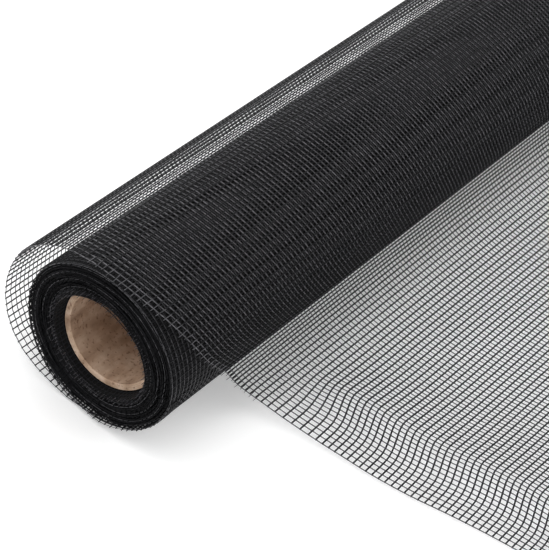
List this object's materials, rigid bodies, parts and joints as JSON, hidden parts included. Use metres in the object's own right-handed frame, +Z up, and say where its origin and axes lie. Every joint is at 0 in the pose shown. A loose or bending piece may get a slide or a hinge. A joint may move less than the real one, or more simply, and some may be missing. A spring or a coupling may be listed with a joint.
{
  "type": "roll of netting",
  "caption": "Roll of fine black woven netting on a card core, its outermost turn loose and its end laid out flat in front of it.",
  "frame": {"origin": "centre of the bounding box, on the surface that the roll rests on", "axes": "+Y along the card core from its near end, +X the way the netting unrolls, +Z up"},
  "size_m": [0.1656, 0.605, 0.053],
  "materials": {
    "core_card": "matt brown card with darker fibres",
    "black_net": "black coated threads with a slight sheen"
  },
  "bodies": {
    "root": {"core_tube": "core_card", "wound_netting": "black_net", "loose_end": "black_net"}
  },
  "joints": []
}
